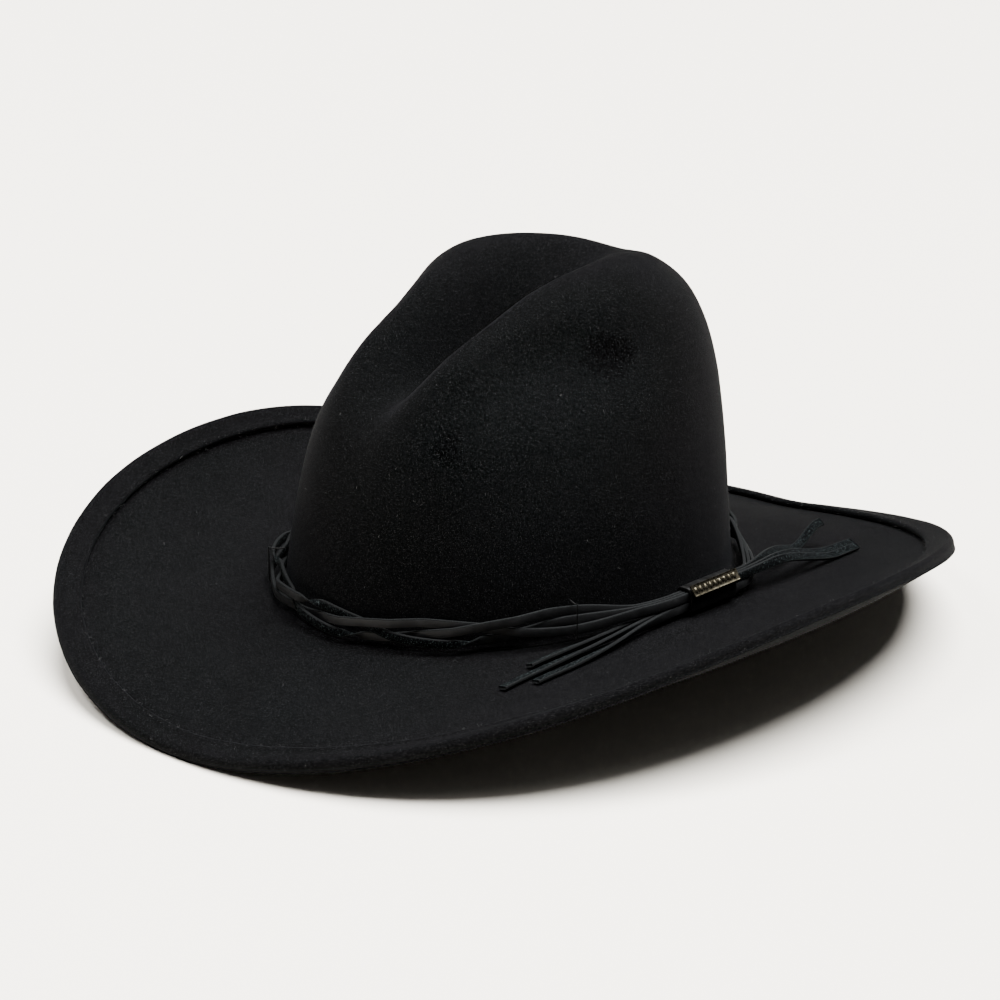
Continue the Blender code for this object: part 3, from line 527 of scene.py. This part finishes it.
# %% Tails that lie on the brim
def felt_height(x, y):
    """Height of the felt's top below a point, found with a ray, in the plait's own frame."""
    start = (Vector((x, y, 60)) + HAT_SHIFT) * MM
    hit, place, _, _ = felt.ray_cast(start, Vector((0, 0, -1)))
    return place.z / MM - HAT_SHIFT.z if hit else 0.0


TAIL_STEPS = 60
STRAIGHT_STEPS = 8
TAIL_WAVERS = 0.5
TAIL_OVER_FELT = 0.5
TILTED_BY = 0.8  # share of the tail by which it has turned to its full tilt
TIP_LIFTS_FROM = 0.7
# shares of a tail between which it comes down on the brim
LEFT_SINKS, RIGHT_SINKS = (0.0, 0.5), (0.25, 0.85)


def tail_of(lace, row, start_y, tail, sinks):
    """From the keeper to the tip, turning flat and sinking on to the brim, with the tilt at each point."""
    aside, run, full_tilt, tip_lift = tail
    start = slot_in_keeper(lace, row, start_y)
    way = 1 if start_y > KEEPER.y else -1
    points, tilts = [], []
    for step in range(1, TAIL_STEPS + 1):
        share = step / TAIL_STEPS
        waver = TAIL_WAVERS * math.sin(7 * share + 2 * lace) * share
        x = mix(start.x, KEEPER.x + aside, ease(share)) + waver
        y = mix(start.y, KEEPER.y + way * run, share)
        tilt = full_tilt * ease(share / TILTED_BY)
        turn = abs(math.radians(tilt))
        half_height = LACE_WIDTH / 2 * math.cos(turn) + LACE_THICKNESS / 2 * math.sin(turn)
        settled = felt_height(x, y) + half_height + TAIL_OVER_FELT
        down = ease((share - sinks[0]) / (sinks[1] - sinks[0]))
        lifted = tip_lift * ease((share - TIP_LIFTS_FROM) / (1 - TIP_LIFTS_FROM))
        points.append(Vector((x, y, mix(start.z, settled, down) + lifted)))
        tilts.append(tilt)
    return points, tilts


# %% [markdown]
# ## Turns
# A flat lace that turns over shows its other side until it turns back. Each lace does this over one
# stretch, between two places at the plait's edge, and it is drawn narrower while it stands on edge.

# %% Where a lace turns over
TURNS_OVER = ((351.3, 397.1), (320.7, 366.5), (198.1, 243.9))
TURN_SPAN = 4.0  # degrees round the crown from flat to on edge
TURN_NARROWS = 0.45


def turn_share(degrees, middle):
    return ease((degrees - middle) / TURN_SPAN / 2 + 0.5)


def turned_at(lace, degrees):
    """Tilt in degrees and width as a share, where the lace turns over and back at the plait's edge."""
    first, second = TURNS_OVER[lace]
    tilt = 180 * (turn_share(degrees, first) - turn_share(degrees, second))
    return tilt, 1 - TURN_NARROWS * math.sin(math.radians(tilt))


PLAIT_STEP = 1.25  # degrees


def route_of(lace):
    front_y, back_y = KEEPER.y - STRAIGHT_HALF, KEEPER.y + STRAIGHT_HALF
    left, left_tilts = tail_of(lace, -1, front_y, LEFT_TAILS[lace], LEFT_SINKS)
    right, right_tilts = tail_of(lace, 1, back_y, RIGHT_TAILS[lace], RIGHT_SINKS)
    straight = [mix(front_y, back_y, step / STRAIGHT_STEPS) for step in range(STRAIGHT_STEPS + 1)]
    route = [(point, tilt, 1.0) for point, tilt in zip(left[::-1], left_tilts[::-1])]
    route += [(slot_in_keeper(lace, -1, y), 0.0, 1.0) for y in straight]
    route += [(point, 0.0, 1.0) for point in join_to_keeper(lace, -1, back_y, PLAIT_START)]
    count = round((PLAIT_END - PLAIT_START) / PLAIT_STEP)
    for step in range(count + 1):
        degrees = mix(PLAIT_START, PLAIT_END, step / count)
        route.append((plait_point(lace, degrees), *turned_at(lace, degrees)))
    route += [(point, 0.0, 1.0) for point in join_to_keeper(lace, 1, front_y, PLAIT_END)[::-1]]
    route += [(slot_in_keeper(lace, 1, y), 0.0, 1.0) for y in straight]
    return route + [(point, tilt, 1.0) for point, tilt in zip(right, right_tilts)]


# %% [markdown]
# ## Finishes of the laces
# Grain leather has a net of tiny creases and a dull gleam. Suede is a brushed nap that shows paler
# specks where the fibres point up. The cut edge shows the hide's grey-brown core, with the dye rubbed
# thin along its corners.

# %% Grain, suede and cut edge
grain = Finish("lace_grain", roughness=0.56, Specular_IOR_Level=0.16)
grain_cells = grain.cells(2300)
grain_wear = grain.noise(150, detail=4, roughness=0.6)
grain_dye = ((0.35, (0.0048, 0.0049, 0.0052)), (0.62, (0.0092, 0.0094, 0.0100)), (0.8, 0.018))
grain.colour(grain.ramp(grain_wear, *grain_dye))
grain.roughness(grain.ramp(grain_wear, (0.3, 0.46), (0.7, 0.62)))
grain.bump(grain_cells, 0.05 * MM, 0.5)
grain.bump(grain.noise(420, detail=3), 0.16 * MM, 0.5)
suede = Finish("lace_suede", roughness=0.95, Specular_IOR_Level=0.02, Sheen_Weight=0.004)
suede_nap = suede.noise(1500, detail=4, roughness=0.8)
suede_tips = (0.040, 0.048, 0.049)
suede_dye = ((0.42, (0.0002, 0.0003, 0.0004)), (0.56, (0.0024, 0.0033, 0.0035)), (0.66, suede_tips))
suede.colour(suede.ramp(suede_nap, *suede_dye))
suede.bump(suede_nap, 0.35 * MM, 1.0)
cut_edge = Finish("lace_cut_edge", roughness=0.85, Specular_IOR_Level=0.06)
cut_fibre = cut_edge.noise(2400, detail=4, roughness=0.7)
cut_dye = ((0.36, (0.0010, 0.0012, 0.0013)), (0.62, (0.0085, 0.0092, 0.0095)), (0.8, 0.030))
cut_edge.colour(cut_edge.ramp(cut_fibre, *cut_dye))
cut_edge.bump(cut_fibre, 0.12 * MM, 0.9)


# %% [markdown]
# ## Sweeping the laces
# A lace is one rounded section, drawn once and swept along each route, so it keeps its width except
# where it turns over. The curve carries the tilt and the narrowing of every turn. Once it is a mesh, its
# faces come in rows of one section each, so a face's number tells which side of the lace it is on.

# %% Sweep a rounded section along each route
SECTION_POINTS = 12  # three round each corner
SECTION_CORNER = 0.35


def lace_section():
    outline = bpy.data.curves.new("lace_section", "CURVE")
    outline.dimensions = "2D"
    spline = outline.splines.new("POLY")
    spline.points.add(SECTION_POINTS - 1)
    corners = ((1, 1), (-1, 1), (-1, -1), (1, -1))
    for index, knot in enumerate(spline.points):
        side_x, side_y = corners[index // 3]
        turn = math.pi / 2 * (index // 3 + index % 3 / 2)
        x = side_x * (LACE_THICKNESS / 2 - SECTION_CORNER) + SECTION_CORNER * math.cos(turn)
        y = side_y * (LACE_WIDTH / 2 - SECTION_CORNER) + SECTION_CORNER * math.sin(turn)
        knot.co = (x * MM, y * MM, 0, 1)
    spline.use_cyclic_u = True
    return bpy.data.objects.new("lace_section", outline)


GRAIN_SIDE, SUEDE_SIDE, CUT_SIDE = 0, 1, 2  # places of the finishes on the lace
OUTER_STRIP, INNER_STRIP = 0, 6  # the two flat strips of faces, counted round the section


def give_sides(piece, segments):
    """Grain faces out and suede faces in, up to the turn inside the keeper, and then the other way."""
    cap_triangles = 2 * (SECTION_POINTS - 2)
    turns_over_at = segments - TAIL_STEPS - STRAIGHT_STEPS // 2
    for face in piece.data.polygons:
        segment, strip = divmod(face.index - cap_triangles, SECTION_POINTS)
        sides = {OUTER_STRIP: GRAIN_SIDE, INNER_STRIP: SUEDE_SIDE}
        if segment >= turns_over_at:
            sides = {OUTER_STRIP: SUEDE_SIDE, INNER_STRIP: GRAIN_SIDE}
        face.material_index = CUT_SIDE if segment < 0 else sides.get(strip, CUT_SIDE)


def sweep_lace(lace, section):
    curve = bpy.data.curves.new(f"plaited_lace_{lace + 1}", "CURVE")
    curve.dimensions = "3D"
    curve.twist_mode = "Z_UP"
    curve.bevel_mode = "OBJECT"
    curve.bevel_object = section
    curve.use_fill_caps = True
    route = route_of(lace)
    spline = curve.splines.new("POLY")
    spline.points.add(len(route) - 1)
    for knot, (point, tilt, width) in zip(spline.points, route):
        knot.co = (*((point + HAT_SHIFT) * MM), 1)
        knot.tilt = math.radians(tilt)
        knot.radius = width
    length = sum((b[0] - a[0]).length for a, b in zip(route, route[1:]))
    print(f"lace {lace + 1}: {length:.0f} mm long, {len(route)} points")
    piece = bpy.data.objects.new(curve.name, curve)
    bpy.context.scene.collection.objects.link(piece)
    only(piece)
    bpy.ops.object.convert(target="MESH")
    piece = bpy.context.object
    piece.data.materials.clear()
    for finish in (grain, suede, cut_edge):
        piece.data.materials.append(finish.material)
    give_sides(piece, len(route))
    in_edit_mode(piece, lambda: bpy.ops.mesh.remove_doubles(threshold=0.01 * MM))
    bpy.ops.object.shade_smooth()
    return piece


section = lace_section()
for lace in range(3):
    finish_piece(sweep_lace(lace, section), None, "lace_leather", "hat", f"lace_{lace + 1}")
bpy.data.objects.remove(section)

# %% [markdown]
# ## Threads, reed and piping
# The small round pieces are already tubes of the right size in the CAD model. A copy of each is
# rounded by subdivision and given its finish. Waxed thread is twisted from several plies, which a fine
# noise is enough to suggest at this size, and the reed is a plain plastic rod.

# %% Finishes for thread, reed and piping
thread = Finish("waxed_thread", roughness=0.6, Specular_IOR_Level=0.10)
thread_ply = thread.noise(3000, detail=1, distortion=1.5)
thread.colour(thread.ramp(thread_ply, (0.35, 0.0008), (0.7, 0.006)))
thread.bump(thread_ply, 0.12 * MM, 0.9)
reed = Finish("reed_plastic", roughness=0.35)
reed.colour(reed.ramp(reed.noise(60), (0.3, (0.62, 0.60, 0.52)), (0.7, (0.72, 0.70, 0.63))))
reed.bump(reed.noise(900), 0.03 * MM, 0.4)
piping = Finish("satin_piping", roughness=0.42, Sheen_Weight=0.1)
piping_weave = piping.noise(2600, detail=2)
piping.colour(piping.ramp(piping_weave, (0.3, 0.008), (0.7, 0.03)))
piping.bump(piping_weave, 0.06 * MM, 0.7)

# %% Round the small tubes
ROUND_PIECES = [(f"band_tack_{number}", thread, "thread") for number in range(1, 5)] + [
    ("sweatband_stitching", thread, "thread"),
    ("sweatband_seam_thread", thread, "thread"),
    ("sweatband_reed", reed, "reed_plastic"),
    ("lining_piping", piping, "piping"),
]
for node, finish, slot in ROUND_PIECES:
    piece = merged_copy(node, f"{node}_round")
    round_through_points(piece, levels=2)
    finish_piece(piece, finish.material, slot, "hat", node)

# %% [markdown]
# ## Keeper
# The keeper is a short sleeve of black leather that all six runs of lace pass through. Its corners are
# soft and its ends are cut square, so a narrow bevel keeps those ends crisp before the whole is
# rounded. On its upper side lies a bar of antique nickel.

# %% Leather sleeve
sleeve_leather = Finish("keeper_leather", roughness=0.42, Specular_IOR_Level=0.14)
sleeve_pores = sleeve_leather.cells(1900)
sleeve_rub = sleeve_leather.noise(260, detail=4)
sleeve_leather.colour(sleeve_leather.ramp(sleeve_rub, (0.35, 0.0010), (0.65, 0.0030), (0.82, 0.012)))
sleeve_leather.roughness(sleeve_leather.ramp(sleeve_rub, (0.3, 0.34), (0.7, 0.55)))
sleeve_leather.bump(sleeve_pores, 0.05 * MM, 0.6)
sleeve_leather.bump(sleeve_rub, 0.12 * MM, 0.4)
sleeve = merged_copy("keeper_sleeve", "keeper_sleeve_leather")
apply_modifier(
    sleeve, "BEVEL", width=0.35 * MM, segments=2, limit_method="ANGLE", angle_limit=math.radians(60)
)
apply_modifier(sleeve, "SUBSURF", levels=2, render_levels=2)
bpy.ops.object.shade_smooth()
finish_piece(sleeve, sleeve_leather.material, "keeper_leather", "keeper", "keeper_sleeve")

# %% [markdown]
# ## Nickel bar
# The bar is a narrow plate with a raised rim and, between its edges, a plain row of beads and reels
# as turned on old harness metal. Antique plating is bright where fingers rub it and dark in the
# hollows. One bead and one reel are modelled and copied along the bar, which lies flat while it is
# made and is then leaned over and put in its place.

# %% Finish of the bar
nickel = Finish("antique_nickel", roughness=0.34, Metallic=1.0)
nickel_cloud = nickel.noise(700, detail=4, roughness=0.65)
plating = ((0.36, (0.008, 0.007, 0.005)), (0.54, (0.075, 0.066, 0.045)), (0.72, (0.20, 0.185, 0.145)))
nickel.colour(nickel.ramp(nickel_cloud, *plating))
nickel.roughness(nickel.ramp(nickel_cloud, (0.3, 0.55), (0.7, 0.28)))
nickel.bump(nickel.noise(2200, detail=3), 0.05 * MM, 0.6)

# %% Plate with a raised rim
BAR_LENGTH, BAR_WIDTH, BAR_THICKNESS = 29 * MM, 5 * MM, 1.1 * MM
BAR_LEAN = math.radians(35)
RIM_WIDTH, RIM_HEIGHT = 0.55 * MM, 0.45 * MM
bar_low, bar_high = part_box("keeper_plate")
BAR_MIDDLE = (Vector(bar_low) + Vector(bar_high)) / 2
for other in list(bpy.context.selected_objects):
    other.select_set(False)
bpy.ops.mesh.primitive_cube_add(size=1)
bar = bpy.context.object
bar.name = "keeper_bar"
bar.scale = (BAR_THICKNESS, BAR_LENGTH, BAR_WIDTH)
bpy.ops.object.transform_apply(location=False, rotation=False, scale=True)
bpy.ops.object.mode_set(mode="EDIT")
bpy.ops.mesh.select_mode(type="FACE")
bpy.ops.mesh.select_all(action="DESELECT")
bpy.ops.object.mode_set(mode="OBJECT")
for face in bar.data.polygons:
    face.select = face.normal.x > 0.9
bpy.ops.object.mode_set(mode="EDIT")
bpy.ops.mesh.inset(thickness=RIM_WIDTH)
bpy.ops.transform.translate(value=(-RIM_HEIGHT, 0, 0))
bpy.ops.object.mode_set(mode="OBJECT")
apply_modifier(bar, "BEVEL", width=0.16 * MM, segments=3, limit_method="ANGLE", angle_limit=math.radians(30))


# %% Beads and reels, copied along the plate
def ball(name, radius, length, squash):
    """A ball of the given length along the bar, flattened towards the plate."""
    bpy.ops.mesh.primitive_uv_sphere_add(segments=14, ring_count=8, radius=1)
    model = bpy.context.object
    model.name = name
    model.scale = (radius * squash, length / 2, radius)
    bpy.ops.object.transform_apply(location=False, rotation=False, scale=True)
    return model


def copy_at(model, x, y):
    """A copy with its own mesh, whose middle is sunk level with the floor of the bar."""
    copy = model.copy()
    copy.data = model.data.copy()
    copy.location = (x, y, 0)
    bpy.context.scene.collection.objects.link(copy)
    return copy


BEADS = 9
BEAD_PITCH = 3.05 * MM
REEL_OFFSET = 0.28 * MM
floor_of_bar = BAR_THICKNESS / 2 - RIM_HEIGHT
bead = ball("bead", radius=1.45 * MM, length=1.9 * MM, squash=0.42)
reel = ball("reel", radius=1.25 * MM, length=0.42 * MM, squash=0.36)
first_y = -(BEADS - 1) / 2 * BEAD_PITCH
ornaments = [copy_at(bead, floor_of_bar, first_y + number * BEAD_PITCH) for number in range(BEADS)]
for number in range(BEADS - 1):
    gap_y = first_y + (number + 0.5) * BEAD_PITCH
    ornaments += [copy_at(reel, floor_of_bar, gap_y + offset) for offset in (-REEL_OFFSET, REEL_OFFSET)]
for model in (bead, reel):
    bpy.data.objects.remove(model)
bpy.context.view_layer.update()
print(len(ornaments), "beads and reels")
only(bar, *ornaments)
bpy.ops.object.join()
bar.rotation_euler = (0, -BAR_LEAN, 0)
bar.location = BAR_MIDDLE
bpy.ops.object.transform_apply(location=True, rotation=True, scale=True)
bpy.ops.object.shade_smooth_by_angle(angle=math.radians(40))
finish_piece(bar, nickel.material, "aged_metal", "keeper", "keeper_plate")

# %% [markdown]
# ## Sweatband, tape and its threads
# Inside the head opening stands a band of soft leather, bound at its foot with a cloth tape round a
# plastic reed and sewn to the felt. It is the part that a wearer touches, so its grain is fine and it
# is polished a little by use along the middle.

# %% Sweatband leather and reed tape
band_leather = Finish("sweatband_leather", roughness=0.45, Specular_IOR_Level=0.45)
band_pores = band_leather.cells(1300)
band_creases = band_leather.noise(70, detail=5, roughness=0.6)
band_dye = ((0.3, (0.010, 0.009, 0.008)), (0.7, (0.022, 0.019, 0.017)))
band_leather.colour(band_leather.ramp(band_creases, *band_dye))
band_leather.roughness(band_leather.ramp(band_creases, (0.3, 0.36), (0.7, 0.56)))
band_leather.bump(band_pores, 0.06 * MM, 0.6)
band_leather.bump(band_creases, 0.4 * MM, 0.35)
tape = Finish("tape_cloth", roughness=0.9, Specular_IOR_Level=0.2)
tape_weave = tape.math("MULTIPLY", tape.noise(2600, detail=1), tape.noise(900, detail=2))
tape.colour(tape.ramp(tape_weave, (0.12, 0.006), (0.4, 0.03)))
tape.bump(tape_weave, 0.15 * MM, 0.8)
BAND_PIECES = (("sweatband", band_leather, "sweatband_leather"), ("reed_tape", tape, "tape_cloth"))
for node, finish, slot in BAND_PIECES:
    piece = merged_copy(node, f"{node}_soft")
    apply_modifier(piece, "SUBSURF", levels=2, render_levels=2, subdivision_type="SIMPLE")
    only(piece)
    bpy.ops.object.shade_smooth_by_angle(angle=math.radians(40))
    finish_piece(piece, finish.material, slot, "hat", node)

# %% [markdown]
# ## Lining
# The lining is thin satin: a side that is gathered along the piping, and an oval tip. Gathers are
# folds that start at the piping and die away towards the head, and each is a little different from
# the next. The mesh is cut finely, and every point is moved in towards the head by the folds at its
# place. The tip only billows a little. Satin's weave is far too fine to model, and its long floats
# give the shine that a low roughness and sheen make here.

# %% Satin finish
satin = Finish("lining_satin", roughness=0.36, Specular_IOR_Level=0.5, Sheen_Weight=0.15)
satin_threads = satin.noise(2400, detail=2)
satin_cloud = satin.noise(45, detail=3)
satin.colour(satin.ramp(satin_cloud, (0.3, (0.016, 0.016, 0.020)), (0.7, (0.028, 0.028, 0.034))))
satin.roughness(satin.ramp(satin_cloud, (0.3, 0.30), (0.7, 0.45)))
satin.bump(satin_threads, 0.02 * MM, 0.5)


# %% Gathered side and billowing tip
GATHERS = 64
GATHER_DEPTH = 2.2 * MM
GATHERS_FADE_OVER = 40 * MM
SEAM_HOLDS_OVER = 6 * MM  # the piping keeps the folds shallow this far below it


def gather_wave(theta):
    """Uneven folds round the crown, between -1.5 and 1.5."""
    main = math.sin(GATHERS * theta + 1.7 * math.sin(5 * theta))
    return main + 0.5 * math.sin(1.9 * GATHERS * theta + 1)


def fold_inwards(piece, top):
    """Moves each point towards the middle of the head by folds that fade below the piping."""
    for vertex in piece.data.vertices:
        below = top - vertex.co.z
        wave = gather_wave(math.atan2(vertex.co.x, -vertex.co.y))
        fade = ease(1 - below / GATHERS_FADE_OVER) * ease(below / SEAM_HOLDS_OVER + 0.15)
        inward = Vector((-vertex.co.x, -vertex.co.y, 0)).normalized()
        vertex.co += inward * GATHER_DEPTH * (wave + 1.5) / 3 * fade


lining_side = merged_copy("lining_side", "lining_side_satin")
apply_modifier(lining_side, "SUBSURF", levels=3, render_levels=3, subdivision_type="SIMPLE")
fold_inwards(lining_side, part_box("lining_side")[1][2])
lining_tip = merged_copy("lining_tip", "lining_tip_satin")
apply_modifier(lining_tip, "SUBSURF", levels=3, render_levels=3, subdivision_type="SIMPLE")
billow = bpy.data.textures.new("billow", "CLOUDS")
billow.noise_scale = 22 * MM
apply_modifier(
    lining_tip, "DISPLACE", texture=billow, texture_coords="LOCAL",
    direction="Z", strength=0.5 * MM, mid_level=0,
)
for piece, node in ((lining_side, "lining_side"), (lining_tip, "lining_tip")):
    only(piece)
    bpy.ops.object.shade_smooth()
    finish_piece(piece, satin.material, "lining_satin", "hat", node)

# %% [markdown]
# ## Clear guard, label and bow
# A clear oval guard is sewn to the tip to keep hair oil off the satin. A woven label is left blank, and
# a small ribbon bow marks the back of the band. The bow's ribbon is ribbed across, as grosgrain is, so
# its bump is a fine wave along the ribbon.

# %% Guard
guard = Finish("clear_guard", (0.30, 0.30, 0.30), 0.10, Specular_IOR_Level=0.5, Alpha=0.14)
guard.bump(guard.noise(90, detail=3), 0.3 * MM, 0.5)
guard_sheet = merged_copy("tip_guard", "clear_guard_sheet")
apply_modifier(guard_sheet, "SUBSURF", levels=2, render_levels=2, subdivision_type="SIMPLE")
only(guard_sheet)
bpy.ops.object.shade_smooth()
finish_piece(guard_sheet, guard.material, "clear_vinyl", "hat", "tip_guard")

# %% Blank label
label_cloth = Finish("label_cloth", roughness=0.85, Sheen_Weight=0.05)
fine_threads, coarse_threads = label_cloth.noise(3200, detail=1), label_cloth.noise(1500, detail=1)
label_weave = label_cloth.math("MULTIPLY", fine_threads, coarse_threads)
label_cloth.colour(label_cloth.ramp(label_weave, (0.14, (0.30, 0.28, 0.24)), (0.36, (0.52, 0.49, 0.43))))
label_cloth.bump(label_weave, 0.08 * MM, 0.8)
label = merged_copy("size_label", "blank_label")
apply_modifier(label, "SUBSURF", levels=3, render_levels=3, subdivision_type="SIMPLE")
only(label)
bpy.ops.object.shade_smooth_by_angle(angle=math.radians(40))
finish_piece(label, label_cloth.material, "label_cloth", "hat", "size_label")

# %% Ribbon bow
ribbon = Finish("bow_ribbon", roughness=0.5, Sheen_Weight=0.1)
ribs = ribbon.tree.nodes.new("ShaderNodeTexWave")
ribs.bands_direction = "X"
ribs.inputs["Scale"].default_value = 420
ribs.inputs["Distortion"].default_value = 0.4
ribbon.join(ribbon.place, ribs.inputs["Vector"])
ribbon.colour(ribbon.ramp(ribs.outputs["Fac"], (0.1, 0.006), (0.9, 0.026)))
ribbon.bump(ribs.outputs["Fac"], 0.10 * MM, 0.8)
for node in ("bow_loops", "bow_tails", "bow_knot"):
    piece = merged_copy(node, f"{node}_ribbon")
    apply_modifier(
        piece, "BEVEL", width=0.08 * MM, segments=1, limit_method="ANGLE", angle_limit=math.radians(60)
    )
    apply_modifier(piece, "SUBSURF", levels=2, render_levels=2)
    only(piece)
    bpy.ops.object.shade_smooth()
    finish_piece(piece, ribbon.material, "bow_ribbon", "hat", node)
